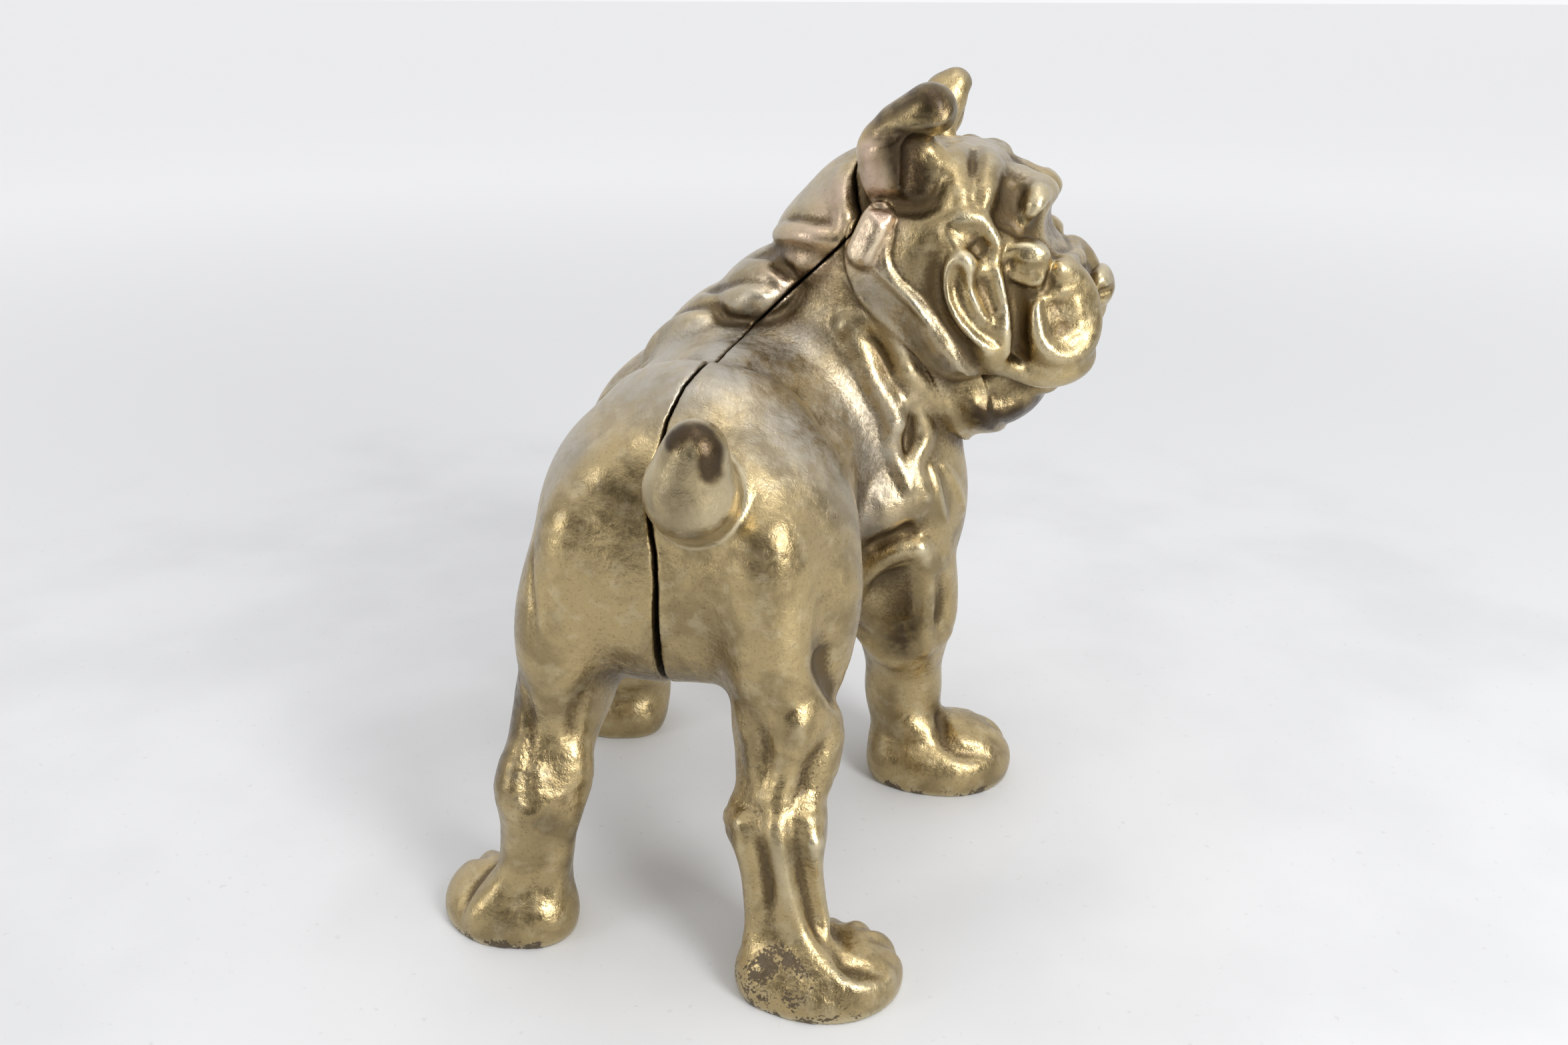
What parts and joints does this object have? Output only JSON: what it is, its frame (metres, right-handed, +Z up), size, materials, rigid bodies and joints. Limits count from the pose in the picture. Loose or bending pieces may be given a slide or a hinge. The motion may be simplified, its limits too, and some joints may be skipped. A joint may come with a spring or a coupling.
{
  "type": "dog figurine",
  "caption": "Standing bulldog figurine with its head turned aside, cast hollow in two metal halves that screws draw together along the spine.",
  "frame": {"origin": "on the floor under the middle of the overall box", "axes": "+Z up; the dog's chest points along -Y and its tail along +Y; +X is the dog's left; the face looks along -X"},
  "size_m": [0.1578, 0.1398, 0.1881],
  "materials": {
    "gilt_iron": "worn gold-coloured finish over sand-cast metal",
    "screw_steel": "dulled with age"
  },
  "bodies": {
    "root": {"left_casting": "gilt_iron", "right_casting": "gilt_iron", "front_screw": "screw_steel", "rear_screw": "screw_steel"}
  },
  "joints": []
}
